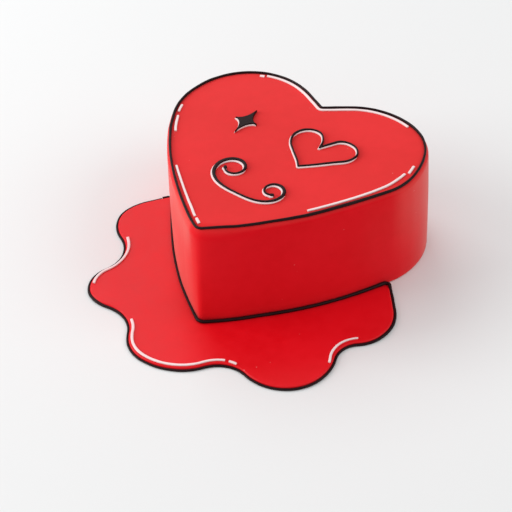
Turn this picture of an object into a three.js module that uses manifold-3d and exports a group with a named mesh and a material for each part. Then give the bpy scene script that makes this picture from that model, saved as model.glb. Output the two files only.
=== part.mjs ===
// A heart shaped celebration cake covered in red sugar paste and dressed like a cartoon drawing.
// A black cord runs round its top edge, white strips beside the cord stand for reflected light,
// and ornaments in black on white lie on top. At the cake's point a flat red puddle of paste
// spreads over the surface below, with a black cord round its edge and along the cake's foot.
// Millimetres, +Z up. The heart's point faces -Y, its dip faces +Y, and the cake stands on z = 0.

import * as THREE from 'three';
import { mergeVertices } from 'three/addons/utils/BufferGeometryUtils.js';
import Module from 'manifold-3d';

const wasm = await Module();
wasm.setup();

// The cake: two round lobes at the back, long bowed flanks, and a point at the front.
// The two halves were shaped by hand and aren't quite alike.
const CAKE_HEIGHT = 92.6;
const POINT_Y = -99.6;
const DIP_Y = 95.4;
const RIGHT_HALF = { lobeX: 50.8, lobeY: 50.9, lobeRadius: 64.1, flankRadius: 346 };
const LEFT_HALF = { lobeX: 50.2, lobeY: 50.2, lobeRadius: 65.0, flankRadius: 356 };
const POINT_ROUNDING = 7;
const DIP_ROUNDING = 5;
const SHOULDER_RADIUS = 4.5;
const SHOULDER_STEPS = 4;
// The side's profile, each point [height, how far it stands out]: rounded under at the foot,
// a little full low down, and drawn in towards the top
const SIDE_PROFILE = [[0, -1.4], [0.8, -0.2], [2.6, 0.6], [26, 0.5], [46, 0.1], [64, -0.4], [77, -0.9]];
const TOP_DRAWN_IN = 1.3;

// Unevenness of the hand-laid paste as shallow swells and hollows: where each one is, half its
// spread, and how far it stands out. Round the cake the places are directions in degrees, seen
// from the middle of the heart: one row for the line of its top and one for the line of its foot.
const CAKE_MIDDLE = { x: 0, y: 20 };
const TOP_WAVES = [
  { at: -86, spread: 16, out: -1.4 },
  { at: -47, spread: 23, out: 0.5 },
  { at: -23, spread: 21, out: -0.4 },
  { at: 4, spread: 13, out: 0.8 },
  { at: 24, spread: 16, out: -1.0 },
  { at: 38, spread: 25, out: 1.1 },
  { at: 70, spread: 18, out: -0.8 },
  { at: 104, spread: 14, out: -1.3 },
  { at: 131, spread: 18, out: 1.1 },
  { at: 161, spread: 18, out: -1.9 },
  { at: 176, spread: 15, out: -1.6 },
  { at: -148, spread: 30, out: 0.4 },
];
const FOOT_WAVES = [
  { at: -84, spread: 20, out: 2.0 },
  { at: -38, spread: 50, out: 0.9 },
  { at: -155, spread: 25, out: -0.8 },
];

// The puddle, rolled flat: round lobes from left to right, and the hollows between them.
// It meets the cake's foot at a small round corner on each side.
const PUDDLE_THICKNESS = 2.7;
const PUDDLE_EDGE_ROUNDING = 1.2;
const PUDDLE_LOBES = [
  { x: -103.3, y: -18.8, radius: 32.8 },
  { x: -80.9, y: -98.6, radius: 26.0 },
  { x: -5.1, y: -115.7, radius: 44.5 },
  { x: 77.2, y: -94.5, radius: 39.6 },
  { x: 99.2, y: -30.4, radius: 35.4 },
];
const PUDDLE_HOLLOWS = [29.2, 33.2, 28.4, 20.8];
// Unevenness of its edge, at lengths along it
const EDGE_WAVES = [
  { at: 222, spread: 26, out: 1.6 },
];
const PUDDLE_CORNER_RADIUS = 3;
const PUDDLE_RIGHT_CORNER_Y = 9;
const PUDDLE_LEFT_CORNER_Y = 16.5;

// Black cords, rounded on top. The puddle's cord stands on the surface round the puddle's
// edge, climbs beside the cake, and lies on the puddle along the cake's foot. Its two ends
// meet in a seam near the cake's left side, where the last end stands a little higher.
const TOP_CORD = { width: 2.5, height: 1.7, inset: 4.1 };
const EDGE_CORD = { width: 2.0, height: 1.9 };
const FOOT_CORD = { width: 2.4, height: 1.9 };
const CORD_CLIMB = 7;
const CORD_SEAM_FROM_CORNER = 5;
const CORD_SEAM_GAP = 0.5;
const CORD_END_LIFT = 1.1;

// White strips beside the cords, laid by eye. Those on the cake lie inside its top edge, between
// two directions seen from the middle of the heart. Those on the puddle lie between two lengths
// along its edge. Each inset bends from a first value, by way of a second, to a third.
const STRIP = { width: 2.0, height: 0.6 };
const CAKE_STRIPS = [
  { name: 'top_strip_back_long', from: 48.3, to: 125, insets: [7.1, 6.5, 6.6] },
  { name: 'top_strip_back_dash', from: 125.8, to: 128.4, insets: [8.0, 7.8, 8.0] },
  { name: 'top_strip_left_dash', from: 172.7, to: 178, insets: [6.6, 6.6, 6.8] },
  { name: 'top_strip_left_short', from: 180.5, to: 193.2, insets: [7.3, 7.4, 8.1] },
  { name: 'top_strip_front_long', from: 222.5, to: 262.1, insets: [7.4, 8.6, 8.2] },
  { name: 'top_strip_front_dash', from: 263.1, to: 266.1, insets: [7.9, 7.7, 7.5] },
  { name: 'top_strip_right_long', from: 319.4, to: 372.6, insets: [9.5, 8.1, 11.4] },
  { name: 'top_strip_right_dash', from: 373.7, to: 379.7, insets: [9.2, 9.4, 9.1] },
];
const PUDDLE_STRIPS = [
  { name: 'puddle_strip_left', from: 64, to: 131, insets: [4.5, 1.6, 3.8] },
  { name: 'puddle_strip_front_long', from: 190, to: 305.5, insets: [4.0, 3.6, 4.4] },
  { name: 'puddle_strip_front_dash', from: 308.4, to: 314.3, insets: [3.9, 3.9, 3.4] },
  { name: 'puddle_strip_right', from: 409, to: 442, insets: [2.8, 5.0, 5.2] },
];

// Ornaments on the cake's top: a thick white layer with a thin black one on it.
// A stroke is a smooth curve through hand-set points, each [x, y, width of the stroke].
const WHITE_LAYER = { height: 0.9, slipX: -0.2, slipY: -1.1 };
const BLACK_LAYER = { height: 0.8, slipX: 0, slipY: 0 };
const HEART_STROKES = [
  [
    [25.5, 11.6, 2.0], [20.5, 17.9, 1.7], [10.7, 27.8, 1.7], [3.1, 36.4, 1.9], [-0.2, 45.9, 2.5],
    [2.5, 54.6, 2.8], [10.1, 59.5, 2.2], [18.7, 58.6, 1.7], [24.9, 51.2, 1.7], [27.7, 40.8, 2.2],
  ],
  [
    [27.3, 41.6, 1.9], [32.1, 49.0, 2.6], [37.7, 56.4, 2.9], [45.1, 58.4, 1.9], [53.7, 55.6, 1.6],
    [58.7, 47.9, 2.0], [56.7, 38.4, 2.5], [46.1, 28.9, 2.5], [35.7, 19.9, 2.3], [25.3, 11.8, 2.0],
  ],
];
const STROKE_STEPS = 4;
const SPARKLE = { x: -44.6, y: 42.6, tall: 17, wide: 10.5, waist: 1.8, steps: 6, taper: 0.94 };
const SCROLL = { x: 3, y: -42, tilt: -6, thin: 1.7, bulb: 3.8, steps: 26 };
const SCROLL_ARMS = {
  left: { length: 106, turns: -1.2, thick: 4.2 },
  right: { length: 82, turns: 1.15, thick: 3.4 },
};

// Pieces that touch are held this far apart
const GAP = 0.3;
// How far a facet may stray from the true curve, and how long a facet may be on a straight run
const SAG = 0.08;
const RUN_STEP = 9;

const PASTE_RED = { color: 0xd4101c, roughness: 0.5, metalness: 0 };
const PASTE_BLACK = { color: 0x1c1716, roughness: 0.5, metalness: 0 };
const PASTE_WHITE = { color: 0xf7efee, roughness: 0.55, metalness: 0 };

const group = new THREE.Group();

function addPiece(name, geometry, paste) {
  geometry.computeVertexNormals();
  const mesh = new THREE.Mesh(geometry, new THREE.MeshStandardMaterial(paste));
  mesh.name = name;
  group.add(mesh);
}

function mix(a, b, share) {
  return a + (b - a) * share;
}

// Directions and distances in the plane

function direction(from, to) {
  return Math.atan2(to.y - from.y, to.x - from.x);
}

function distance(a, b) {
  return Math.hypot(b.x - a.x, b.y - a.y);
}

// The point at distance ra from a and rb from b, on the left of the way from a to b
function meet(a, ra, b, rb) {
  const apart = distance(a, b);
  const along = (apart * apart + ra * ra - rb * rb) / (2 * apart);
  const aside = Math.sqrt(ra * ra - along * along);
  const ux = (b.x - a.x) / apart;
  const uy = (b.y - a.y) / apart;
  return { x: a.x + ux * along - uy * aside, y: a.y + uy * along + ux * aside };
}

// The outward direction of the straight line that touches two arcs on the right of the way
// from a to b. A plain point is an arc of radius 0.
function touch(a, b) {
  return direction(a, b) - Math.acos((a.radius - b.radius) / distance(a, b));
}

// Tracks: rows of points in the plane, each with its outward direction nx, ny

// The closed track round a row of arcs, anticlockwise. An arc is { x, y, radius, from, to }:
// from and to are outward directions, and a hollow arc has a negative radius. A straight run
// joins each arc to the next. byCake is the share in which a stretch follows the cake's side.
function followArcs(arcs) {
  const track = [];
  for (const arc of arcs) {
    const [cakeFrom, cakeTo] = arc.byCake ?? [0, 0];
    const turn = 2 * Math.acos(1 - SAG / Math.abs(arc.radius));
    const sense = Math.sign(arc.radius);
    const sweep = sense * THREE.MathUtils.euclideanModulo((arc.to - arc.from) * sense, 2 * Math.PI);
    const steps = Math.ceil(Math.abs(sweep) / turn);
    for (let i = 0; i <= steps; i += 1) {
      const share = i / steps;
      const nx = Math.cos(arc.from + sweep * share);
      const ny = Math.sin(arc.from + sweep * share);
      const byCake = mix(cakeFrom, cakeTo, share);
      const point = { x: arc.x + arc.radius * nx, y: arc.y + arc.radius * ny, nx, ny, byCake };
      if (track.length === 0 || distance(track[track.length - 1], point) > GAP) {
        track.push(point);
      }
    }
  }
  if (distance(track[track.length - 1], track[0]) < GAP) {
    track.pop();
  }
  return track;
}

// A track moved outwards, by one distance or by a function of each point and its place in line
function shift(track, out) {
  return track.map((point, index) => {
    const d = typeof out === 'function' ? out(point, index) : out;
    return { ...point, x: point.x + point.nx * d, y: point.y + point.ny * d };
  });
}

// A closed track gone round twice, so that a stretch may pass its start
function twice(track) {
  return [...track, ...track, track[0]];
}

function lengths(track) {
  const result = [0];
  for (let i = 1; i < track.length; i += 1) {
    result.push(result[i - 1] + distance(track[i - 1], track[i]));
  }
  return result;
}

// A track moved inwards by an inset that bends between three values
function inset(track, [start, pull, end]) {
  const passed = lengths(track);
  return shift(track, (point, index) => {
    const share = passed[index] / passed[track.length - 1];
    return -mix(mix(start, pull, share), mix(pull, end, share), share);
  });
}

// A track with points added on its long straight runs
function refine(track) {
  const fine = [track[0]];
  for (let i = 1; i < track.length; i += 1) {
    const last = track[i - 1];
    const steps = Math.ceil(distance(last, track[i]) / RUN_STEP);
    for (let j = 1; j <= steps; j += 1) {
      const share = j / steps;
      const x = mix(last.x, track[i].x, share);
      const y = mix(last.y, track[i].y, share);
      fine.push({ ...track[i], x, y });
    }
  }
  return fine;
}

// The stretch of a track where the values given for its points, which grow, go from..to
function stretch(track, values, from, to) {
  const part = [];
  for (let i = 0; i + 1 < track.length; i += 1) {
    for (const end of [from, to]) {
      if (values[i] <= end && end < values[i + 1]) {
        const share = (end - values[i]) / (values[i + 1] - values[i]);
        const point = { ...track[i] };
        for (const key of ['x', 'y', 'nx', 'ny', 'byCake']) {
          point[key] = mix(track[i][key], track[i + 1][key], share);
        }
        part.push(point);
      }
    }
    if (from < values[i + 1] && values[i + 1] < to) {
      part.push(track[i + 1]);
    }
  }
  const last = part.length - 1;
  return part.filter((point, i) => {
    return i === 0 || i === last || Math.min(distance(point, part[0]), distance(point, part[last])) > GAP;
  });
}

// A path's points with the direction on their right as the outward one
function faceRight(path) {
  return path.map((point, i) => {
    const ahead = path[Math.min(i + 1, path.length - 1)];
    const behind = path[Math.max(i - 1, 0)];
    const step = distance(behind, ahead);
    return { ...point, nx: (ahead.y - behind.y) / step, ny: (behind.x - ahead.x) / step };
  });
}

// Solids

// A flat ring's points in its own plane
function flatten(ring) {
  const normal = new THREE.Vector3();
  ring.forEach((point, i) => {
    const here = point.clone().sub(ring[0]);
    const next = ring[(i + 1) % ring.length].clone().sub(ring[0]);
    normal.add(here.cross(next));
  });
  const upright = new THREE.Quaternion();
  upright.setFromUnitVectors(normal.normalize(), new THREE.Vector3(0, 0, 1));
  return ring.map((point) => {
    const flat = point.clone().sub(ring[0]).applyQuaternion(upright);
    return new THREE.Vector2(flat.x, flat.y);
  });
}

// The faces of a flat end, wound the same way as its ring
function endFaces(ring) {
  const contour = flatten(ring);
  return THREE.ShapeUtils.triangulateShape(contour, []).map((face) => {
    const wound = THREE.ShapeUtils.area(face.map((i) => contour[i]));
    return wound > 0 ? face : face.slice().reverse();
  });
}

function signedVolume(points, faces) {
  let sum = 0;
  for (const [a, b, c] of faces) {
    sum += points[a].dot(new THREE.Vector3().crossVectors(points[b], points[c])) / 6;
  }
  return sum;
}

// A closed solid through a row of rings of equal numbers of points. A joined row comes back
// to its start, and any other gets a flat end at both ends.
function loft(rings, joined = false) {
  const count = rings[0].length;
  const points = rings.flat();
  const faces = [];
  const spans = joined ? rings.length : rings.length - 1;
  for (let i = 0; i < spans; i += 1) {
    const here = i * count;
    const next = ((i + 1) % rings.length) * count;
    for (let j = 0; j < count; j += 1) {
      const k = (j + 1) % count;
      faces.push([here + j, here + k, next + k]);
      faces.push([here + j, next + k, next + j]);
    }
  }
  if (!joined) {
    const last = (rings.length - 1) * count;
    endFaces(rings[0]).forEach((face) => faces.push(face.slice().reverse()));
    endFaces(rings[rings.length - 1]).forEach((face) => faces.push(face.map((i) => i + last)));
  }
  if (signedVolume(points, faces) < 0) {
    faces.forEach((face) => face.reverse());
  }
  const geometry = new THREE.BufferGeometry().setFromPoints(points);
  geometry.setIndex(faces.flat());
  return geometry;
}

function ringAt(track, z) {
  return track.map((point) => new THREE.Vector3(point.x, point.y, z));
}

// Cross-sections, each point as its share of the width across and of the height up
const ROUND = [[-0.32, 0], [-0.5, 0.45], [-0.28, 1], [0.28, 1], [0.5, 0.45], [0.32, 0]];
const SOFT_TOP = [[-0.5, 0], [-0.5, 0.7], [-0.36, 1], [0.36, 1], [0.5, 0.7], [0.5, 0]];

// A cord along a track whose points have a foot and a top height and a width
function cord(track, section, joined = false) {
  const rings = track.map((point) => section.map(([across, up]) => {
    const d = across * point.width;
    const z = mix(point.foot, point.top, up);
    return new THREE.Vector3(point.x + point.nx * d, point.y + point.ny * d, z);
  }));
  return loft(rings, joined);
}

function lay(track, foot, size) {
  return track.map((point) => ({ width: size.width, ...point, foot, top: foot + size.height }));
}

function toManifold(geometry) {
  const bare = geometry.clone();
  bare.deleteAttribute('normal');
  bare.deleteAttribute('uv');
  const merged = mergeVertices(bare);
  const mesh = new wasm.Mesh({
    numProp: 3,
    vertProperties: new Float32Array(merged.attributes.position.array),
    triVerts: new Uint32Array(merged.index.array),
  });
  return new wasm.Manifold(mesh);
}

function fromManifold(solid) {
  const mesh = solid.getMesh();
  const geometry = new THREE.BufferGeometry();
  geometry.setAttribute('position', new THREE.BufferAttribute(mesh.vertProperties, 3));
  geometry.setIndex(new THREE.BufferAttribute(mesh.triVerts, 1));
  return geometry;
}

// The cake's outline at its shoulder, first as arcs

function halfArcs(half) {
  const lobe = { x: half.lobeX, y: half.lobeY, radius: half.lobeRadius };
  const point = { x: 0, y: POINT_Y };
  const dip = { x: 0, y: DIP_Y, radius: 0 };
  const flank = meet(point, half.flankRadius, lobe, half.flankRadius - half.lobeRadius);
  flank.radius = half.flankRadius;
  flank.to = direction(flank, lobe);
  lobe.from = flank.to;
  lobe.to = touch(lobe, dip);
  return { flank, lobe };
}

function mirrored(arc) {
  return { x: -arc.x, y: arc.y, radius: arc.radius, from: Math.PI - arc.to, to: Math.PI - arc.from };
}

function heartArcs() {
  const right = halfArcs(RIGHT_HALF);
  const left = halfArcs(LEFT_HALF);
  const leftCentre = { x: -left.flank.x, y: left.flank.y };
  const leftReach = left.flank.radius - POINT_ROUNDING;
  const rightReach = right.flank.radius - POINT_ROUNDING;
  const tip = meet(leftCentre, leftReach, right.flank, rightReach);
  tip.radius = POINT_ROUNDING;
  tip.from = direction(leftCentre, tip);
  tip.to = direction(right.flank, tip);
  right.flank.from = tip.to;
  left.flank.from = Math.PI - tip.from;
  const leftLobe = mirrored(left.lobe);

  // The dip's rounding touches the straight runs that come down from both lobes
  const rightRun = new THREE.Vector2(Math.cos(right.lobe.to), Math.sin(right.lobe.to));
  const leftRun = new THREE.Vector2(Math.cos(leftLobe.from), Math.sin(leftLobe.from));
  const away = rightRun.clone().add(leftRun);
  away.multiplyScalar(DIP_ROUNDING / (1 + rightRun.dot(leftRun)));
  const dip = { x: away.x, y: DIP_Y + away.y, radius: -DIP_ROUNDING };
  dip.from = right.lobe.to;
  dip.to = leftLobe.from;
  const leftFlank = mirrored(left.flank);
  return { tip, rightFlank: right.flank, rightLobe: right.lobe, dip, leftLobe, leftFlank };
}

// Then with its unevenness

function facing(point) {
  return THREE.MathUtils.radToDeg(direction(CAKE_MIDDLE, point));
}

// How far the waves stand out at a place on a line that comes back to its start after a length
function swell(waves, place, length) {
  let out = 0;
  for (const wave of waves) {
    const away = THREE.MathUtils.euclideanModulo(place - wave.at + length / 2, length) - length / 2;
    if (Math.abs(away) < wave.spread) {
      out += wave.out * Math.cos((away / wave.spread) * (Math.PI / 2)) ** 2;
    }
  }
  return out;
}

function topWave(point) {
  return swell(TOP_WAVES, facing(point), 360);
}

function footWave(point) {
  return swell(FOOT_WAVES, facing(point), 360);
}

// The facing of each point of a track gone round twice from the tip, growing all the way
function facings(track) {
  const result = [];
  for (const point of track) {
    const last = result.length ? result[result.length - 1] : -90;
    result.push(last + THREE.MathUtils.euclideanModulo(facing(point) - last + 90, 360) - 90);
  }
  return result;
}

const outline = heartArcs();
const heart = followArcs(Object.values(outline));

// The heart a way out from its outline, its unevenness going over from the foot's to the top's
function heartRing(out, z) {
  const up = z / CAKE_HEIGHT;
  return ringAt(shift(heart, (point) => out + mix(footWave(point), topWave(point), up)), z);
}

// Cake body: a side by its profile, a round shoulder and a flat top

function cakeBody() {
  const rings = SIDE_PROFILE.map(([z, out]) => heartRing(out, z));
  for (let i = 0; i <= SHOULDER_STEPS; i += 1) {
    const angle = (i / SHOULDER_STEPS) * (Math.PI / 2);
    const inset = SHOULDER_RADIUS * (1 - Math.cos(angle));
    const drop = SHOULDER_RADIUS * (1 - Math.sin(angle));
    rings.push(heartRing(-TOP_DRAWN_IN - inset, CAKE_HEIGHT - drop));
  }
  return loft(rings);
}

addPiece('cake_body', cakeBody(), PASTE_RED);

// Top cord: one closed ring on the shoulder

const cakeTop = CAKE_HEIGHT + GAP;
const topLine = shift(heart, topWave);
const topTrack = lay(shift(topLine, -TOP_CORD.inset), cakeTop, TOP_CORD);
addPiece('top_cord', cord(topTrack, ROUND, true), PASTE_BLACK);

// White strips inside the top cord

const topTwice = twice(topLine);
const topFacings = facings(topTwice);
for (const strip of CAKE_STRIPS) {
  const line = inset(stretch(topTwice, topFacings, strip.from, strip.to), strip.insets);
  addPiece(strip.name, cord(lay(line, cakeTop, STRIP), SOFT_TOP), PASTE_WHITE);
}

// The line of the puddle's cord: round the lobes and hollows, then back along the cake's foot

const fullest = Math.max(...SIDE_PROFILE.map(([, out]) => out));
const footOut = fullest + GAP + FOOT_CORD.width / 2;

// A round corner between the puddle's edge and the cake's foot, touching a flank
function footCorner(flank, y, side) {
  const reach = flank.radius + footOut + PUDDLE_CORNER_RADIUS;
  const x = flank.x + side * Math.sqrt(reach ** 2 - (y - flank.y) ** 2);
  return { x, y, radius: PUDDLE_CORNER_RADIUS };
}

// A stretch of the cake's outline as the hollow that the puddle has there
function footArc(arc, from, to) {
  const turned = { from: from + Math.PI, to: to + Math.PI };
  return { x: arc.x, y: arc.y, radius: -(arc.radius + footOut), ...turned, byCake: [1, 1] };
}

function puddleArcs() {
  const { rightFlank, leftFlank, tip } = outline;
  const rightCorner = footCorner(rightFlank, PUDDLE_RIGHT_CORNER_Y, 1);
  const leftCorner = footCorner(leftFlank, PUDDLE_LEFT_CORNER_Y, -1);
  const arcs = [];
  PUDDLE_LOBES.forEach((place, i) => {
    const lobe = { ...place };
    const next = PUDDLE_LOBES[i + 1];
    lobe.from = i === 0 ? touch(leftCorner, lobe) : direction(lobe, arcs[arcs.length - 1]);
    arcs.push(lobe);
    if (next) {
      const radius = PUDDLE_HOLLOWS[i];
      const hollow = meet(next, next.radius + radius, lobe, lobe.radius + radius);
      lobe.to = direction(lobe, hollow);
      arcs.push({ ...hollow, radius: -radius, from: lobe.to, to: direction(next, hollow) });
    } else {
      lobe.to = touch(lobe, rightCorner);
      Object.assign(rightCorner, { from: lobe.to, byCake: [0, 1] });
    }
  });
  const rightFoot = direction(rightFlank, rightCorner);
  const leftFoot = direction(leftFlank, leftCorner);
  rightCorner.to = rightFoot + Math.PI;
  Object.assign(leftCorner, { from: leftFoot + Math.PI, to: arcs[0].from, byCake: [1, 0] });
  return [
    ...arcs,
    rightCorner,
    footArc(rightFlank, rightFoot, rightFlank.from),
    footArc(tip, tip.to, tip.from),
    footArc(leftFlank, leftFlank.to, leftFoot),
    leftCorner,
  ];
}

const rimArcs = followArcs(puddleArcs());
const rimPassed = lengths([...rimArcs, rimArcs[0]]);
const rimLength = rimPassed[rimArcs.length];
const rim = shift(rimArcs, (point, index) => {
  return swell(EDGE_WAVES, rimPassed[index], rimLength) - footWave(point) * point.byCake;
});
const corners = rim.filter((point) => point.byCake > 0 && point.byCake < 1);

// Puddle: a flat sheet with a soft top edge. It stays inside the cord round its edge, and
// reaches under the cord to the cake's foot.

function puddleSheet() {
  const inside = -(EDGE_CORD.width / 2 + GAP);
  const under = FOOT_CORD.width / 2;
  const sheet = shift(rim, (point) => mix(inside, under, point.byCake ** 3));
  const r = PUDDLE_EDGE_ROUNDING;
  const low = PUDDLE_THICKNESS - r;
  const half = Math.SQRT1_2;
  return loft([
    ringAt(sheet, 0),
    ringAt(sheet, low),
    ringAt(shift(sheet, -r * (1 - half)), low + r * half),
    ringAt(shift(sheet, -r), PUDDLE_THICKNESS),
  ]);
}

addPiece('puddle', puddleSheet(), PASTE_RED);

// Puddle cord: one length, laid from the seam round the puddle and back to the seam

const puddleTop = PUDDLE_THICKNESS + GAP;

function puddleCord() {
  const round = twice(rim);
  const along = lengths(round);
  const seam = along[rim.length - 1] + CORD_SEAM_FROM_CORNER;
  const length = along[rim.length];
  const path = refine(stretch(round, along, seam, seam + length - CORD_SEAM_GAP));
  const passed = lengths(path);
  const end = passed[passed.length - 1] - CORD_SEAM_FROM_CORNER;
  const high = puddleTop + FOOT_CORD.height;
  return path.map((point, i) => {
    const away = Math.min(...corners.map((place) => distance(point, place)));
    const climb = point.byCake > 0 ? 1 : Math.max(0, 1 - away / CORD_CLIMB) ** 2;
    const lift = passed[i] > end ? CORD_END_LIFT : 0;
    return {
      ...point,
      width: mix(EDGE_CORD.width, FOOT_CORD.width, point.byCake),
      foot: point.byCake > 0 ? puddleTop : 0,
      top: Math.max(mix(EDGE_CORD.height, high, climb), EDGE_CORD.height + lift),
    };
  });
}

addPiece('puddle_cord', cord(puddleCord(), ROUND), PASTE_BLACK);

// White strips on the puddle

for (const strip of PUDDLE_STRIPS) {
  const line = inset(stretch(rim, lengths(rim), strip.from, strip.to), strip.insets);
  addPiece(strip.name, cord(lay(line, puddleTop, STRIP), SOFT_TOP), PASTE_WHITE);
}

// Heart ornament: two brush-like strokes that join at the cleft and at the tip

function strokePath(points) {
  const curve = new THREE.CatmullRomCurve3(points.map((place) => new THREE.Vector3(...place)));
  const path = curve.getPoints(STROKE_STEPS * (points.length - 1));
  return faceRight(path.map(({ x, y, z }) => ({ x, y, width: z })));
}

function heartOrnament(foot, layer) {
  const strokes = HEART_STROKES.map((points) => lay(strokePath(points), foot, layer));
  const [left, right] = strokes.map((path) => toManifold(cord(path, SOFT_TOP)));
  return fromManifold(left.add(right));
}

// Sparkle ornament: a star of four points with hollow sides

function sparkleOrnament(foot, layer) {
  const { tall, wide, waist, steps, taper } = SPARKLE;
  const tips = [[wide, 0], [0, tall], [-wide, 0], [0, -tall]];
  const star = new THREE.Shape();
  star.moveTo(...tips[0]);
  tips.forEach(([x, y], i) => {
    const [nextX, nextY] = tips[(i + 1) % tips.length];
    const cornerX = Math.sign(x + nextX) * waist;
    const cornerY = Math.sign(y + nextY) * waist;
    star.quadraticCurveTo(cornerX, cornerY, nextX, nextY);
  });
  const contour = star.getPoints(steps).slice(0, -1);
  const rings = [[1, 0], [1, 0.6], [taper, 1]].map(([scale, up]) => contour.map((point) => {
    const x = SPARKLE.x + point.x * scale;
    const y = SPARKLE.y + point.y * scale;
    return new THREE.Vector3(x, y, foot + up * layer.height);
  }));
  return loft(rings);
}

// Scroll ornament: one stroke that curls up at both ends, its curve tightening evenly along
// each arm, thick where it swings out and with a small bulb at each end

function scrollArm(arm, heading) {
  const step = arm.length / SCROLL.steps;
  const path = [];
  let { x, y } = SCROLL;
  for (let i = 1; i <= SCROLL.steps; i += 1) {
    const share = (i - 0.5) / SCROLL.steps;
    const angle = heading + 2 * Math.PI * arm.turns * share ** 2;
    x += step * Math.cos(angle);
    y += step * Math.sin(angle);
    const fullness = Math.sin(Math.PI * (i / SCROLL.steps)) ** 2;
    const bulb = i > SCROLL.steps - 2 ? SCROLL.bulb - SCROLL.thin : 0;
    path.push({ x, y, width: mix(SCROLL.thin, arm.thick, fullness) + bulb });
  }
  return path;
}

function scrollOrnament(foot, layer) {
  const tilt = THREE.MathUtils.degToRad(SCROLL.tilt);
  const left = scrollArm(SCROLL_ARMS.left, tilt + Math.PI).reverse();
  const right = scrollArm(SCROLL_ARMS.right, tilt);
  const middle = { x: SCROLL.x, y: SCROLL.y, width: SCROLL.thin };
  return cord(lay(faceRight([...left, middle, ...right]), foot, layer), SOFT_TOP);
}

// Every ornament has a white layer on the cake and a black layer on the white one

const ORNAMENTS = { heart: heartOrnament, sparkle: sparkleOrnament, scroll: scrollOrnament };
for (const [name, make] of Object.entries(ORNAMENTS)) {
  const white = make(cakeTop, WHITE_LAYER);
  white.translate(WHITE_LAYER.slipX, WHITE_LAYER.slipY, 0);
  addPiece(`${name}_white`, white, PASTE_WHITE);
  const black = make(cakeTop + WHITE_LAYER.height + GAP, BLACK_LAYER);
  black.translate(BLACK_LAYER.slipX, BLACK_LAYER.slipY, 0);
  addPiece(`${name}_black`, black, PASTE_BLACK);
}

export default group;
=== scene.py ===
import math
from cmath import phase

import bmesh
import bpy
import numpy as np
from mathutils import Matrix, Vector


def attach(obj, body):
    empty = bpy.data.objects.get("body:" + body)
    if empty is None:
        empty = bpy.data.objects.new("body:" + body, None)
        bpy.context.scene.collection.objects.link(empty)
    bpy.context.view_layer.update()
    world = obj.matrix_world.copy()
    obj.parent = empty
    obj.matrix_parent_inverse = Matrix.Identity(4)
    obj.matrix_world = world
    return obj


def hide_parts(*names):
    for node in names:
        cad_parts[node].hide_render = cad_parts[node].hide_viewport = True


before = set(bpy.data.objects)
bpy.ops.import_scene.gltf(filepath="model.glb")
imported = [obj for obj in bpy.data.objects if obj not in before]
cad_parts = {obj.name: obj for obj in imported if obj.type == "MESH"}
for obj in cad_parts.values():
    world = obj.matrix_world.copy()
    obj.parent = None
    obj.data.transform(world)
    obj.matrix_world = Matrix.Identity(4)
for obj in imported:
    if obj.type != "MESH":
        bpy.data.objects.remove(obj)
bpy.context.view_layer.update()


# The cake: sponge cut to a heart, two round lobes and bowed flanks that meet in a point, under
# one sheet of red sugar paste. The paste was smoothed down by hand, so its top edge is round
# and its sides swell and sink a little. Sizes are in millimetres, directions in degrees.
MM = 0.001
CAKE_HEIGHT = 92.6
POINT_Y = -99.6
DIP_Y = 95.4
RIGHT_HALF = {"lobe": 50.8 + 50.9j, "lobe_radius": 64.1, "flank_radius": 346}
LEFT_HALF = {"lobe": 50.2 + 50.2j, "lobe_radius": 65.8, "flank_radius": 356}
POINT_ROUNDING, DIP_ROUNDING = 4.5, 5
SHOULDER_RADIUS, POINT_SHOULDER_RADIUS = 4.5, 10.0
SHOULDER_REACH = 60
# The softer point: how often and how strongly its line is evened out, and how far that reaches
POINT_SOFT_ROUNDS, POINT_SOFT_SHARE, POINT_SOFT_REACH = 220, 0.7, 60
# How far its top leans, how far round that reaches, and the power by which it grows with height
POINT_LEAN, POINT_LEAN_REACH, POINT_LEAN_BEND = -1.6 + 0.6j, 32, 0.6
FOOT_OUT, FOOT_ROUNDING_OUT, FOOT_ROUNDING_UP = -1.4, 2.0, 2.6
TOP_DRAWN_IN, FULLEST_OUT = 1.3, 0.6
CAKE_MIDDLE = 20j
RED_DEEP, RED_LIGHT, RED_ROUGHNESS, RED_DUST = (0.70, 0.002, 0.008), (0.76, 0.004, 0.012), 0.42, 0.4
# Along an outline: the length of a step, the fewest in an arc, and how soon a step is added
FINE_STEP, FEWEST_STEPS, STEP_ROUNDING = 1.0, 6, 0.4
# Up the cake's cut: how many points each stretch has, and the shares of the way to the middle
# where there are points under the foot, on the top near the edge, and evenly from there on
FOOT_POINTS, SIDE_POINTS, SHOULDER_POINTS, TOP_POINTS = 6, 34, 10, 24
FOOT_INWARD, EDGE_INWARD, TOP_INWARD = (1, 0.66, 0.33, 0.06, 0), (0.012, 0.03, 0.07), 0.12
# Where each swell or hollow is seen from the middle of the heart, half its spread, how far out
TOP_WAVES = [
    (-86, 16, 0.8), (-47, 23, 0.5), (-23, 21, -0.4), (4, 13, 0.8), (24, 16, -1.0),
    (38, 25, 1.2), (74, 20, 0.2), (104, 14, -1.1), (131, 18, 1.1), (161, 18, -1.9),
    (176, 15, -1.6), (-148, 30, 0.4),
]
FOOT_WAVES = [(-84, 20, 1.2), (-38, 50, 0.9), (-108, 28, 0.7), (-155, 25, -0.5)]


def meet(a, reach_a, b, reach_b):
    """The point at these distances from a and b, on the left of the way from a to b."""
    apart = abs(b - a)
    along = (apart**2 + reach_a**2 - reach_b**2) / (2 * apart)
    return a + (b - a) / apart * complex(along, math.sqrt(reach_a**2 - along**2))


def touch(a, radius_a, b, radius_b):
    """The outward direction of the line that touches two arcs on the right of the way a to b."""
    return phase(b - a) - math.acos((radius_a - radius_b) / abs(b - a))


def mirrored(arc):
    centre, radius, start, end = arc
    return -centre.conjugate(), radius, math.pi - end, math.pi - start


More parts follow.
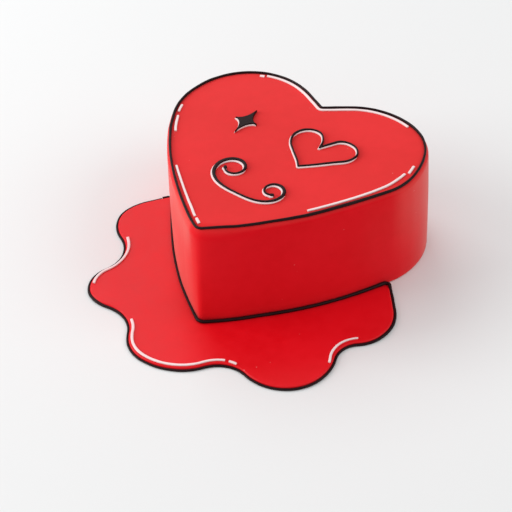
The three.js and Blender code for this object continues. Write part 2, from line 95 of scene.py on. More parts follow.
def half_heart(inset, lobe, lobe_radius, flank_radius):
    flank = meet(complex(0, POINT_Y), flank_radius, lobe, flank_radius - lobe_radius)
    turn = phase(lobe - flank)
    crest = touch(lobe, lobe_radius, complex(0, DIP_Y), 0)
    return (flank, flank_radius - inset, 0, turn), (lobe, lobe_radius - inset, turn, crest)


def heart_arcs(inset=0.0, point_rounding=POINT_ROUNDING, dip_rounding=DIP_ROUNDING):
    """The heart's outline, or a line inside it, from its point round its right side, its dip and
    its left side: arcs, each a centre, a radius and the outward directions at its ends."""
    flank, lobe = half_heart(inset, **RIGHT_HALF)
    left_flank, left_lobe = half_heart(inset, **LEFT_HALF)
    left_centre = -left_flank[0].conjugate()
    tip = meet(left_centre, left_flank[1] - point_rounding, flank[0], flank[1] - point_rounding)
    start, end = phase(tip - left_centre), phase(tip - flank[0])
    left_lobe = mirrored(left_lobe)
    down, up = np.exp(1j * lobe[3]), np.exp(1j * left_lobe[2])
    away = (down + up) * (dip_rounding - inset) / (1 + (down * up.conjugate()).real)
    return [
        (tip, point_rounding, start, end),
        (flank[0], flank[1], end, flank[3]),
        lobe,
        (complex(0, DIP_Y) + away, -dip_rounding, lobe[3], left_lobe[2]),
        left_lobe,
        mirrored((left_flank[0], left_flank[1], math.pi - start, left_flank[3])),
    ]


def follow(arcs):
    """Points along a closed row of arcs and the straight runs between them, the outward
    direction at each, and its place in the row as the arc's number and the share along it.
    A hollow arc has a negative radius."""
    rows = []
    for number, (centre, radius, start, end) in enumerate(arcs):
        sense = math.copysign(1, radius)
        sweep = sense * (((end - start) * sense) % (2 * math.pi))
        count = max(FEWEST_STEPS, math.ceil(abs(sweep * radius) / FINE_STEP))
        shares = np.linspace(0, 1, count + 1)
        turns = np.exp(1j * (start + sweep * shares))
        rows += list(zip(centre + radius * turns, turns, number + shares))
    filled = [rows[0]]
    for place, outward, number in [*rows[1:], (*rows[0][:2], len(arcs))]:
        last = filled[-1][0]
        steps = round(abs(place - last) / FINE_STEP + STEP_ROUNDING)
        for step in range(1, steps + 1):
            filled.append((last + (place - last) * step / steps, outward, number))
    places, outward, number = (np.array(column) for column in zip(*filled[:-1]))
    return places, outward, number


def swell(waves, place, length):
    """How far the waves stand out at places on a line that closes after a length."""
    out = np.zeros(len(place))
    for at, spread, height in waves:
        away = (place - at + length / 2) % length - length / 2
        out += np.where(abs(away) < spread, height * np.cos(away / spread * math.pi / 2) ** 2, 0)
    return out


def facing(places):
    return np.degrees(np.angle(places - CAKE_MIDDLE))


def near_point(places, reach):
    """1 at the heart's point, fading to 0 at a reach from it."""
    return 1 - np.clip(abs(places - complex(0, POINT_Y)) / reach, 0, 1) ** 2


def softened(places, share):
    """A closed line made smoother where the share is 1, and its outward directions."""
    for _ in range(POINT_SOFT_ROUNDS):
        between = (np.roll(places, 1) + np.roll(places, -1)) / 2
        places = places + (between - places) * share * POINT_SOFT_SHARE
    along = np.roll(places, -1) - np.roll(places, 1)
    return places, -1j * along / abs(along)


def edge_in(height, radius):
    """How far a round upper edge has drawn in at a height."""
    rise = max(0.0, height - (CAKE_HEIGHT - radius))
    return radius - math.sqrt(radius**2 - rise**2)


class Wire:
    """A socket in a node tree. Arithmetic on it adds the nodes that work the result out."""

    def __init__(self, tree, socket=None):
        self.tree, self.socket = tree, socket

    def node(self, kind, settings=None, out=0, **values):
        """Adds a node: its settings first, then the value or link of each socket. A socket is
        named with _ for a space, or by its number as n0, n1 and so on. Gives one output."""
        node = self.tree.nodes.new(kind)
        for name, value in (settings or {}).items():
            setattr(node, name, value)
        free = [socket for socket in node.inputs if socket.enabled]
        for name, value in values.items():
            named = [socket for socket in free if socket.name == name.replace("_", " ")]
            socket = named[0] if named else free[int(name[1:])]
            if isinstance(value, Wire):
                self.tree.links.new(value.socket, socket)
            else:
                socket.default_value = value
        shown = [socket for socket in node.outputs if socket.enabled]
        chosen = [socket for number, socket in enumerate(shown) if out in (number, socket.name)]
        return Wire(self.tree, chosen[0] if chosen else None)

    def work_out(self, operation, left, right):
        arrows = [isinstance(side, Wire) and side.socket.type == "VECTOR"
                  for side in (left, right)]
        if any(arrows) and operation == "MULTIPLY":
            arrow, times = (left, right) if arrows[0] else (right, left)
            return self.node("ShaderNodeVectorMath", {"operation": "SCALE"}, Vector=arrow,
                             Scale=times)
        kind = "ShaderNodeVectorMath" if any(arrows) else "ShaderNodeMath"
        return self.node(kind, {"operation": operation}, n0=left, n1=right)

    def __add__(self, other):
        return self.work_out("ADD", self, other)

    def __sub__(self, other):
        return self.work_out("SUBTRACT", self, other)

    def __rsub__(self, other):
        return self.work_out("SUBTRACT", other, self)

    def __mul__(self, other):
        return self.work_out("MULTIPLY", self, other)

    def __truediv__(self, other):
        return self.work_out("DIVIDE", self, other)

    def __rtruediv__(self, other):
        return self.work_out("DIVIDE", other, self)

    __radd__, __rmul__ = __add__, __mul__


def spatial(flat, height=0.0):
    """Points or directions in the plane as three coordinates."""
    return np.stack([flat.real, flat.imag, np.broadcast_to(height, flat.shape)], 1)


def thread(name, closed=False, **facts):
    """A row of joined points that a tree gives its shape, with the facts about each point."""
    count = len(next(iter(facts.values())))
    mesh = bpy.data.meshes.new(name)
    edges = [(i, (i + 1) % count) for i in range(count if closed else count - 1)]
    mesh.from_pydata([(0, 0, 0)] * count, edges, [])
    for label, values in facts.items():
        values = np.array(values, np.float32)
        kind, key = ("FLOAT", "value") if values.ndim == 1 else ("FLOAT_VECTOR", "vector")
        mesh.attributes.new(label, kind, "POINT").data.foreach_set(key, values.ravel())
    return bpy.data.objects.new(name, mesh)


def new_tree(name, **inputs):
    """A Geometry Nodes tree with these named inputs, and each of them as a wire."""
    tree = bpy.data.node_groups.new(name, "GeometryNodeTree")
    tree.interface.new_socket("Geometry", in_out="OUTPUT", socket_type="NodeSocketGeometry")
    for label, kind in {"Geometry": "Geometry", "Section": "Object", **inputs}.items():
        tree.interface.new_socket(label, in_out="INPUT", socket_type="NodeSocket" + kind)
    start = Wire(tree)
    group = tree.nodes.new("NodeGroupInput")
    return start, {socket.name: Wire(tree, socket) for socket in group.outputs if socket.name}


def fact(start, name, kind="FLOAT"):
    return start.node("GeometryNodeInputNamedAttribute", {"data_type": kind}, Name=name)


def swept(start, inputs):
    """The section swept along the thread, every point still at the thread's own place."""
    section = start.node("GeometryNodeObjectInfo", out="Geometry", Object=inputs["Section"])
    line, cut = (start.node("GeometryNodeMeshToCurve", Mesh=mesh)
                 for mesh in (inputs["Geometry"], section))
    return start.node("GeometryNodeCurveToMesh", Curve=line, Profile_Curve=cut, Fill_Caps=True)


def upright(start, height):
    return start.node("ShaderNodeCombineXYZ", Z=height)


def close_tree(start, mesh, position, paste_input):
    """Ends a tree: its points go to their position, and it becomes a plain mesh of paste."""
    placed = start.node("GeometryNodeSetPosition", Geometry=mesh, Position=position)
    real = start.node("GeometryNodeRealizeInstances", Geometry=placed)
    done = start.node("GeometryNodeSetMaterial", Geometry=real, Material=paste_input)
    start.node("NodeGroupOutput", Geometry=done)
    return start.tree


# Points nearer than this are one point, and a turn sharper than this is a crease
SAME_PLACE, CREASE_ANGLE = 0.001 * MM, 40


def finished(piece, mesh):
    """Gives a piece its final mesh: doubles merged, faces out, creased where it turns sharply."""
    shape = bmesh.new()
    shape.from_mesh(mesh)
    bmesh.ops.remove_doubles(shape, verts=shape.verts, dist=SAME_PLACE)
    bmesh.ops.recalc_face_normals(shape, faces=shape.faces)
    for face in shape.faces:
        face.smooth = True
    clean = bpy.data.meshes.new(piece.name)
    shape.to_mesh(clean)
    shape.free()
    clean.set_sharp_from_angle(angle=math.radians(CREASE_ANGLE))
    facts = [layer.name for layer in clean.attributes
             if layer.domain == "POINT" and layer.name != "position"]
    for name in facts:
        clean.attributes.remove(clean.attributes[name])
    clean.materials.clear()
    clean.materials.append(mesh.materials[0])
    piece.data = clean
    return piece


def formed(piece, tree, **values):
    """Runs a tree on a thread, each input set by its socket's identifier, and keeps the result."""
    bpy.context.scene.collection.objects.link(piece)
    modifier = piece.modifiers.new("form", "NODES")
    modifier.node_group = tree
    for item in tree.interface.items_tree:
        if item.name in values:
            modifier[item.identifier] = values[item.name]
    ready = piece.evaluated_get(bpy.context.evaluated_depsgraph_get())
    mesh = bpy.data.meshes.new_from_object(ready)
    piece.modifiers.remove(modifier)
    return finished(piece, mesh)


def cake_section():
    """The cake's cut from the middle of its foot out, up its side, over its round edge and back
    to the middle of its top, with the directions in which the paste may be uneven."""
    top = CAKE_HEIGHT - SHOULDER_RADIUS
    rows = [(FOOT_OUT, 0, inward, 0, 0) for inward in FOOT_INWARD]
    for angle in np.linspace(-math.pi / 2, 0, FOOT_POINTS)[1:]:
        out = FOOT_OUT + FOOT_ROUNDING_OUT * math.cos(angle)
        rows.append((out, FOOT_ROUNDING_UP * (1 + math.sin(angle)), 0, 1, 0))
    for height in np.linspace(FOOT_ROUNDING_UP, top, SIDE_POINTS)[1:]:
        out = FULLEST_OUT - (FULLEST_OUT + TOP_DRAWN_IN) * (height / top) ** 2
        rows.append((out, height, 0, 1, 0))
    for angle in np.linspace(0, math.pi / 2, SHOULDER_POINTS)[1:]:
        lean, rise = math.cos(angle), math.sin(angle)
        out = -TOP_DRAWN_IN - SHOULDER_RADIUS * (1 - lean)
        rows.append((out, top + SHOULDER_RADIUS * rise, 0, lean, rise))
    for inward in (*EDGE_INWARD, *np.linspace(TOP_INWARD, 1, TOP_POINTS)):
        rows.append((-TOP_DRAWN_IN - SHOULDER_RADIUS, CAKE_HEIGHT, inward, 0, 1))
    across, up, inward, lean, rise = np.array(rows).T
    rounder = np.array([edge_in(height, SHOULDER_RADIUS) - edge_in(height, POINT_SHOULDER_RADIUS)
                        for height in up])
    return thread("cake_cut", across=across * MM, up=up * MM, inward=inward, lean=lean, rise=rise,
                  rounder=rounder * MM)


# The strokes of the smoother are drawn out upwards: how close their pattern is in each direction
STROKE_STRETCH = (1, 1, 0.1)


def cake_tree():
    """The cake's cut swept round the heart, its inner ends gathered at the middle, with the
    paste's broad unevenness and the upright strokes of the smoother added."""
    start, inputs = new_tree("heart_cover", Middle="Vector", Height="Float", Swell="Float",
                             Spread="Float", Stroke="Float", Reach="Float", Seed="Float",
                             Paste="Material")
    up, foot, top = (fact(start, name) for name in ("up", "foot_swell", "top_swell"))
    outward, place = (fact(start, name, "FLOAT_VECTOR") for name in ("outward", "place"))
    rise = up / inputs["Height"]
    out = fact(start, "across") + foot + (top - foot) * rise
    out = out + fact(start, "rounder") * fact(start, "by_point")
    top_place = fact(start, "top_place", "FLOAT_VECTOR")
    leaning = start.node("ShaderNodeMath", {"operation": "POWER"}, n0=rise, n1=POINT_LEAN_BEND)
    side = place + (top_place - place) * leaning + outward * out
    spot = side + (inputs["Middle"] - side) * fact(start, "inward") + upright(start, up)

    def noise(where, spread):
        return start.node("ShaderNodeTexNoise", {"noise_dimensions": "4D"}, Vector=where,
                          W=inputs["Seed"], Scale=1 / spread, Detail=1.0) * 2 - 1

    tall = start.node("ShaderNodeVectorMath", {"operation": "MULTIPLY"}, n0=spot,
                      n1=STROKE_STRETCH)
    lean = fact(start, "lean")
    free = outward * lean + upright(start, fact(start, "rise"))
    uneven = (free * (noise(spot, inputs["Spread"]) * inputs["Swell"])
              + outward * (lean * noise(tall, inputs["Reach"]) * inputs["Stroke"]))
    return close_tree(start, swept(start, inputs), spot + uneven, inputs["Paste"])


# The patterns in the paste, by how many to a metre: the drift of its colour, the dents of the
# fingers, its grain, the specks of starch and the patches that these gather in
DRIFT, DENTS, GRAIN, SPECKS, SPECK_PATCHES = 14.0, 110.0, 1500.0, 190.0, 50.0
# How much of the drift and of the dents the lighter shade follows, how much the dents and the
# grain change the roughness, and how much deeper than a dent the drift is pressed in
DRIFT_SHARE, DENT_SHARE, DENT_ROUGHNESS, GRAIN_ROUGHNESS, DRIFT_DEPTH = 0.7, 0.3, 0.12, 0.1, 3
# Between which values of its pattern, or of how far the paste faces up, each look sets in
LIGHT_FROM, SPECK_FROM, PATCH_FROM = (0.32, 0.68), (0.1, 0.05), (0.64, 0.70)
# How far the paste faces up where the painted sheen on the top sets in, and where the painted
# highlights on the sides fade out
PAINTED_SHEEN_FROM, PAINTED_HIGHLIGHT_UNTIL = (0.2, 0.95), (0.5, 0.9)
# The pale colour painted on as sheen on the top and as highlights on the sides, the colour of the
# starch specks, and the tint of the shader's own sheen
PAINTED_SHEEN_COLOUR, STARCH_SPECK, BLOOM_TINT = (0.95, 0.66, 0.52), (0.9, 0.62, 0.58), (1.0, 0.96, 0.84)
# Painted highlights on the cake's sides, where a pale colour is painted over the red in place of
# the light they catch: the direction that such a place faces, how far it spreads as a cosine, the
# heights between which it grows, and how much of the red it covers
PAINTED_SIDE_HIGHLIGHTS = [(-5, 0.866, 10, 78, 0.048), (-128, 0.988, 50, 85, 0.062)]


def paste(name, deep, light, roughness, grain, dent, dust=0.0, painted_sheen=0.0, gloss=0.2, bloom=0.12,
          bloom_roughness=0.3):
    """Sugar paste: two close shades that drift into each other, a satin face, a fine grain, shallow
    dents left by fingers and the smoother, a few specks of starch dust, and with a painted sheen
    also a paler colour painted on what faces up and painted highlights on two places of its sides."""
    material = bpy.data.materials.new(name)
    material.use_nodes = True
    start = Wire(material.node_tree)
    where = start.node("ShaderNodeTexCoord", out="Object")

    def noise(scale, detail=2.0):
        return start.node("ShaderNodeTexNoise", Vector=where, Scale=scale, Detail=detail)

    def ramp(value, low, high):
        return start.node("ShaderNodeMapRange", {"interpolation_type": "SMOOTHSTEP"},
                          Value=value, From_Min=low, From_Max=high)

    def blend(share, colour, over):
        return start.node("ShaderNodeMix", {"data_type": "RGBA"}, Factor=share, A=colour,
                          B=(*over, 1))

    def arrow(operation, **values):
        return start.node("ShaderNodeVectorMath", {"operation": operation}, **values)

    broad, middle, fine = noise(DRIFT), noise(DENTS), noise(GRAIN, detail=3.0)
    lighter = ramp(broad * DRIFT_SHARE + middle * DENT_SHARE, *LIGHT_FROM)
    colour = blend(lighter, (*deep, 1), light)
    # Painted sheen: the colour is painted paler where the paste faces up.
    if painted_sheen:
        normal = start.node("ShaderNodeTexCoord", out="Normal")
        up = start.node("ShaderNodeSeparateXYZ", out="Z", Vector=normal)
        height = start.node("ShaderNodeSeparateXYZ", out="Z", Vector=where)
        level = arrow("NORMALIZE", n0=arrow("MULTIPLY", n0=normal, n1=(1, 1, 0)))
        colour = blend(ramp(up, *PAINTED_SHEEN_FROM) * painted_sheen, colour, PAINTED_SHEEN_COLOUR)
        # Painted highlights: the red is painted paler on the sides where they face a given way,
        # between two heights.
        for direction, spread, low, high, share in PAINTED_SIDE_HIGHLIGHTS:
            turn = math.radians(direction)
            towards = arrow("DOT_PRODUCT", out="Value", n0=level,
                            n1=(math.cos(turn), math.sin(turn), 0))
            painted_highlight = ramp(towards, spread, 1.0) * ramp(height, low * MM, high * MM)
            colour = blend(painted_highlight * (1 - ramp(up, *PAINTED_HIGHLIGHT_UNTIL)) * share, colour, PAINTED_SHEEN_COLOUR)
    if dust:
        cells = start.node("ShaderNodeTexVoronoi", Vector=where, Scale=SPECKS)
        specks = ramp(cells, *SPECK_FROM) * ramp(noise(SPECK_PATCHES), *PATCH_FROM)
        colour = blend(specks * dust, colour, STARCH_SPECK)
    finish = {
        "Base Color": colour,
        "Roughness": (roughness + (middle - 0.5) * DENT_ROUGHNESS
                      + (fine - 0.5) * GRAIN_ROUGHNESS),
        "Normal": start.node("ShaderNodeBump", Strength=1.0, Distance=1.0,
                             Height=fine * grain + (middle + broad * DRIFT_DEPTH) * dent),
    }
    shader = material.node_tree.nodes["Principled BSDF"]
    for label, wire in finish.items():
        start.tree.links.new(wire.socket, shader.inputs[label])
    shader.inputs["Specular IOR Level"].default_value = gloss
    shader.inputs["Sheen Weight"].default_value = bloom
    shader.inputs["Sheen Roughness"].default_value = bloom_roughness
    shader.inputs["Sheen Tint"].default_value = (*BLOOM_TINT, 1)
    return material


outline, _, _ = follow(heart_arcs())
top_outline, outline_out = softened(outline, near_point(outline, POINT_SOFT_REACH))
top_outline = top_outline + POINT_LEAN * near_point(outline, POINT_LEAN_REACH)
top_swell = swell(TOP_WAVES, facing(outline), 360)
foot_swell = swell(FOOT_WAVES, facing(outline), 360)
# The cake's red paste gets the painted sheen on its top and the painted highlights on its sides.
red_paste = paste("red_paste", RED_DEEP, RED_LIGHT, RED_ROUGHNESS, grain=0.01 * MM,
                  dent=0.06 * MM, dust=RED_DUST, painted_sheen=0.03, gloss=0.03, bloom=0.36,
                  bloom_roughness=0.38)
cake = thread("cake", True, place=spatial(outline) * MM, top_place=spatial(top_outline) * MM,
              outward=spatial(outline_out), foot_swell=foot_swell * MM,
              top_swell=top_swell * MM, by_point=near_point(outline, SHOULDER_REACH))
formed(cake, cake_tree(), Section=cake_section(), Middle=Vector((0, CAKE_MIDDLE.imag, 0)) * MM,
       Height=CAKE_HEIGHT * MM, Swell=0.25 * MM, Spread=45 * MM, Stroke=0.12 * MM,
       Reach=13 * MM, Seed=4.0, Paste=red_paste)
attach(cake, "root")
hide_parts("cake_body")


# The cord on the cake's top edge: a thin string of black sugar paste, rolled by hand, laid round
# the shoulder in one closed ring and stuck down with a little water.
TOP_CORD_WIDTH = 2.0
TOP_CORD_INSET = 4.1
TOP_CORD_FOOT, TOP_CORD_TOP = 92.3, 94.5
TOP_CORD_POINT_ROUNDING, TOP_CORD_DIP_ROUNDING = 7.0, 2.0
TOP_CORD_LOWER = 0.5
# Where, and how far, the cord has slid back and down on the soft point
TOP_CORD_SLIDE = [(-101, 20, 2.4), (-90.5, 7, 1.9), (-78, 14, 0.6)]
SLIDE_BACK, SLIDE_DOWN = -0.485 + 0.606j, 0.636
BLACK_DEEP, BLACK_LIGHT, BLACK_ROUGHNESS = (0.013, 0.003, 0.004), (0.020, 0.007, 0.008), 0.4
# Where the cord lies further in or out than the edge, and where it is fuller or slimmer
TOP_CORD_WAVES = [*TOP_WAVES[1:], (-84, 18, -1.2), (-62, 34, -1.0)]
TOP_CORD_FULLNESS = [(-22, 55, 0.3), (185, 28, 0.15)]


def rounded_cut(name, squareness, points):
    """A cut one wide and one high. Squareness 2 is round, and above it the corners fill out."""
    angle = np.linspace(0, 2 * math.pi, points, endpoint=False) + math.pi / points
    across, up = (0.5 * np.sign(f(angle)) * abs(f(angle)) ** (2 / squareness)
                  for f in (np.cos, np.sin))
    return thread(name, True, across=across, up=0.5 + up)


# How far from the unevenness of a strand its wander is read off the same noise
WANDER_APART = 50


def strand_tree():
    """A cut swept along a line, upright on it, a little thicker and thinner along its length
    and a little off its line, as paste rolled and laid by hand is."""
    start, inputs = new_tree("paste_strand", Width="Float", Height="Float", Unevenness="Float",
                             Wander="Float", Spread="Float", Seed="Float", Paste="Material")
    run = fact(start, "passed") / inputs["Spread"] + inputs["Seed"]

    def noise(place):
        return start.node("ShaderNodeTexNoise", {"noise_dimensions": "1D"}, W=place,
                          Scale=1.0, Detail=1.0) * 2 - 1

    thick = 1 + noise(run) * inputs["Unevenness"]
    across = fact(start, "across") * inputs["Width"] * fact(start, "wide") * thick
    up = fact(start, "up") * inputs["Height"] * fact(start, "tall") * thick
    outward, place = (fact(start, name, "FLOAT_VECTOR") for name in ("outward", "place"))
    off = outward * (across + noise(run + WANDER_APART) * inputs["Wander"])
    return close_tree(start, swept(start, inputs), place + off + upright(start, up),
                      inputs["Paste"])


def lengths(places):
    return np.concatenate([[0], np.cumsum(abs(np.diff(places)))])


def strand(name, places, outward, foot, cut, wide, tall=1.0, closed=False, **values):
    """A string or strip of paste along points in the plane, standing at a height."""
    whole = np.ones(len(places))
    outward = outward / abs(outward)
    piece = thread(name, closed, place=spatial(places, foot) * MM, outward=spatial(outward),
                   wide=whole * wide, tall=whole * tall, passed=lengths(places) * MM)
    for label in ("Width", "Height", "Wander", "Spread"):
        values[label] = values[label] * MM
    return formed(piece, strands, Section=cut, **values)


strands = strand_tree()
cord_cut = rounded_cut("cord_cut", squareness=2.2, points=18)
black_paste = paste("black_paste", BLACK_DEEP, BLACK_LIGHT, BLACK_ROUGHNESS, grain=0.01 * MM,
                    dent=0.03 * MM, gloss=0.1, bloom=0.0)
cord_line, cord_out, _ = follow(heart_arcs(TOP_CORD_INSET, TOP_CORD_POINT_ROUNDING,
                                           TOP_CORD_DIP_ROUNDING))
cord_line = cord_line + cord_out * swell(TOP_CORD_WAVES, facing(cord_line), 360)
cord_line = cord_line + POINT_LEAN * near_point(cord_line, POINT_LEAN_REACH)
slide = swell(TOP_CORD_SLIDE, facing(cord_line), 360)
lower = TOP_CORD_LOWER * near_point(cord_line, SHOULDER_REACH) + slide * SLIDE_DOWN
fullness = 1 + swell(TOP_CORD_FULLNESS, facing(cord_line), 360)
top_cord = strand("top_edge_cord", cord_line + slide * SLIDE_BACK, cord_out,
                  TOP_CORD_FOOT - lower, cord_cut, wide=fullness, tall=0.5 + fullness / 2,
                  closed=True, Width=TOP_CORD_WIDTH, Height=TOP_CORD_TOP - TOP_CORD_FOOT,
                  Unevenness=0.07, Wander=0.12, Spread=14, Seed=1.0, Paste=black_paste)
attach(top_cord, "root")
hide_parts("top_cord")


# The strips of light on the cake: white sugar paste rolled thin, cut square at the ends with a
# knife and laid by eye inside the black cord, long ones and short dashes.
STRIP_WIDTH, STRIP_HEIGHT, STRIP_SUNK = 2.0, 1.1, 0.2
STRIP_END_SOFT, STRIP_END_NARROWER = 0.35, 0.12
STRIP_LOWER, STRIP_LOWER_REACH = 1.4, 30
CAKE_STRIP_SEED = 10.0
WHITE_DEEP, WHITE_LIGHT, WHITE_ROUGHNESS = (0.84, 0.67, 0.665), (0.92, 0.76, 0.755), 0.5
# From and to as directions seen from the middle of the heart, how far inside the edge each lies
# at its start, by way of its middle, to its end, its share of the full width there, and how
# often its line is evened out
CAKE_STRIPS = {
    "top_strip_back_long": (48.3, 126, (7.3, 6.8, 7.3), (1.1, 1.1, 1.15), 0),
    "top_strip_back_dash": (127.1, 129.1, (8.6, 8.4, 8.6), (1.25, 1.25, 1.25), 0),
    "top_strip_left_dash": (172.1, 177.2, (7.4, 7.3, 7.4), (1.0, 1.05, 1.0), 0),
    "top_strip_left_short": (180.3, 192.2, (7.9, 7.9, 8.5), (1.0, 1.1, 1.1), 0),
    "top_strip_front_long": (222.5, 262.1, (7.5, 9.2, 8.5), (0.95, 0.85, 1.0), 20),
    "top_strip_front_dash": (263.3, 266.3, (8.7, 8.6, 8.5), (1.1, 1.15, 1.1), 0),
    "top_strip_right_long": (319.4, 373.2, (9.5, 8.3, 11.4), (1.05, 1.15, 1.1), 700),
    "top_strip_right_dash": (374.5, 379.8, (9.0, 9.2, 9.0), (1.1, 1.1, 1.1), 0),
}


# Along a part of a line: the length of a step, the fewest points, and the points it is read at
PART_STEP, FEWEST_POINTS, READINGS = 0.7, 3, 2000


def part_of(columns, values, lap, start, end):
    """The part of a closed line where its values, which grow by a lap each time round, go from
    start to end: the same columns for evenly spaced points."""
    known = np.concatenate([values, values + lap])

    def read(column, at):
        twice = np.concatenate([column, column])
        return np.interp(at, known, twice.real) + 1j * np.interp(at, known, twice.imag)

    rough = np.linspace(start, end, READINGS)
    passed = lengths(read(columns[0], rough))
    count = max(FEWEST_POINTS, round(passed[-1] / PART_STEP) + 1)
    even = np.linspace(0, passed[-1], count)
    return [read(column, np.interp(even, passed, rough)) for column in columns]


def bend(values, share):
    """A value that goes from a first to a last by way of a middle one."""
    first, middle, last = values
    return ((first * (1 - share) + middle * share) * (1 - share)
            + (middle * (1 - share) + last * share) * share)


def inset_strip(name, line, outward, insets, widths, evened, foot, seed):
    """A white strip inside a line, its own line evened out so often, soft at its cut ends."""
    passed = lengths(line)
    places = line - outward * bend(insets, passed / passed[-1])
    for _ in range(evened):
        between = (places[:-2] + places[2:]) / 2
        places[1:-1] += (between - places[1:-1]) / 2
    passed = lengths(places)
    near_end = np.minimum(passed, passed[-1] - passed)
    narrower = STRIP_END_NARROWER * np.clip(1 - near_end / STRIP_END_SOFT, 0, 1)
    wide = bend(widths, passed / passed[-1]) * (1 - narrower)
    return strand(name, places, outward, foot - STRIP_SUNK, strip_cut, wide, Width=STRIP_WIDTH,
                  Height=STRIP_HEIGHT + STRIP_SUNK, Unevenness=0.06, Wander=0.1, Spread=11,
                  Seed=seed, Paste=white_paste)


strip_cut = rounded_cut("strip_cut", squareness=4.0, points=20)
white_paste = paste("white_paste", WHITE_DEEP, WHITE_LIGHT, WHITE_ROUGHNESS, grain=0.01 * MM,
                    dent=0.03 * MM)
cord_facing = np.degrees(np.unwrap(np.radians(facing(cord_line))))
for number, (name, (start_at, end_at, insets, widths, evened)) in enumerate(CAKE_STRIPS.items()):
    line, line_out = part_of([cord_line, cord_out], cord_facing, 360, start_at, end_at)
    insets = [inset - TOP_CORD_INSET for inset in insets]
    foot = CAKE_HEIGHT - STRIP_LOWER * near_point(line, STRIP_LOWER_REACH)
    strip = inset_strip("white_" + name, line, line_out, insets, widths, evened, foot,
                        CAKE_STRIP_SEED + number)
    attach(strip, "root")
    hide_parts(name)


# The puddle: red sugar paste rolled flat and cut round five lobes with a knife, so that it looks
# melted out from under the cake's point. It lies on the surface, its upper edge rubbed round.
PUDDLE_THICKNESS = 2.7
# Its rubbed edge: the radius, the points across it, and how far inside it the flat top starts
PUDDLE_EDGE_ROUNDING, PUDDLE_EDGE_POINTS, PUDDLE_TOP_INSIDE = 1.2, 7, 0.6
# The centre and radius of each lobe, the radius of the hollow between each two, and where along
# the edge it swells, half the spread, how far out
PUDDLE_LOBES = [
    (-103.3 - 18.8j, 32.8), (-80.9 - 98.6j, 26.0), (-5.1 - 115.7j, 44.5), (77.2 - 94.5j, 39.6),
    (99.2 - 30.4j, 35.4),
]
PUDDLE_HOLLOWS = [29.2, 33.2, 28.4, 20.8]
EDGE_WAVES = [
    (48, 25, -0.5), (155, 16, -0.8), (222, 26, 1.6), (264, 30, -0.9), (372, 40, 1.0),
    (452, 22, 0.6), (492, 22, -0.5), (882, 26, -1.2),
]
CORNER_RADIUS = 3.6
RIGHT_CORNER_Y, LEFT_CORNER_Y = 10.2, 14.5
EDGE_CORD_WIDTH, FOOT_CORD_WIDTH = 2.0, 2.4
PIECE_GAP = 0.3
FOOT_LINE_OUT = FULLEST_OUT + PIECE_GAP + FOOT_CORD_WIDTH / 2
# The arcs of the puddle's line up to the first corner by the cake, and those along its foot
EDGE_ARCS, FOOT_ARCS = 2 * len(PUDDLE_LOBES) - 1, 3
RIGHT_CLIMB = 8.0
PUDDLE_DEEP, PUDDLE_LIGHT = (0.70, 0.001, 0.006), (0.76, 0.003, 0.010)


def foot_corner(flank, y, side):
    """A round corner between the puddle's edge and the cake's foot, touching a flank."""
    centre, radius = flank[:2]
    reach = radius + FOOT_LINE_OUT + CORNER_RADIUS
    return complex(centre.real + side * math.sqrt(reach**2 - (y - centre.imag) ** 2), y)


def foot_arc(arc, start, end):
    """A stretch of the cake's outline as the hollow that the puddle has there."""
    return arc[0], -(arc[1] + FOOT_LINE_OUT), start + math.pi, end + math.pi


def puddle_arcs():
    """The line of the puddle's cord: round the lobes, then back along the cake's foot."""
    tip, flank, _, _, _, left_flank = heart_arcs()
    corner = foot_corner(flank, RIGHT_CORNER_Y, 1)
    left_corner = foot_corner(left_flank, LEFT_CORNER_Y, -1)
    start = touch(left_corner, CORNER_RADIUS, *PUDDLE_LOBES[0])
    arcs = []
    for (lobe, radius), (other, other_radius), hollow in zip(
            PUDDLE_LOBES, PUDDLE_LOBES[1:], PUDDLE_HOLLOWS):
        centre = meet(other, other_radius + hollow, lobe, radius + hollow)
        turn, back = phase(centre - lobe), phase(centre - other)
        arcs += [(lobe, radius, start, turn), (centre, -hollow, turn, back)]
        start = back
    lobe, radius = PUDDLE_LOBES[-1]
    end = touch(lobe, radius, corner, CORNER_RADIUS)
    foot, left_foot = phase(corner - flank[0]), phase(left_corner - left_flank[0])
    return [
        *arcs, (lobe, radius, start, end),
        (corner, CORNER_RADIUS, end, foot + math.pi),
        foot_arc(flank, foot, flank[2]),
        foot_arc(tip, tip[3], tip[2]),
        foot_arc(left_flank, left_flank[3], left_foot),
        (left_corner, CORNER_RADIUS, left_foot + math.pi, arcs[0][2]),
    ]


def stacked(name, rings, material):
    """A closed form through rings of points, each [points in the plane, height]."""
    count = len(rings[0][0])
    shape = bmesh.new()
    made = [[shape.verts.new(Vector(p) * MM) for p in spatial(*ring)] for ring in rings]
    for low, high in zip(made, made[1:]):
        for i in range(count):
            j = (i + 1) % count
            shape.faces.new((low[i], low[j], high[j], high[i]))
    shape.faces.new(made[0])
    shape.faces.new(made[-1])
    mesh = bpy.data.meshes.new(name)
    shape.to_mesh(mesh)
    shape.free()
    mesh.materials.append(material)
    piece = bpy.data.objects.new(name, mesh)
    bpy.context.scene.collection.objects.link(piece)
    return finished(piece, mesh)


def closed_lengths(places):
    passed = lengths(places)
    return passed, passed[-1] + abs(places[0] - places[-1])


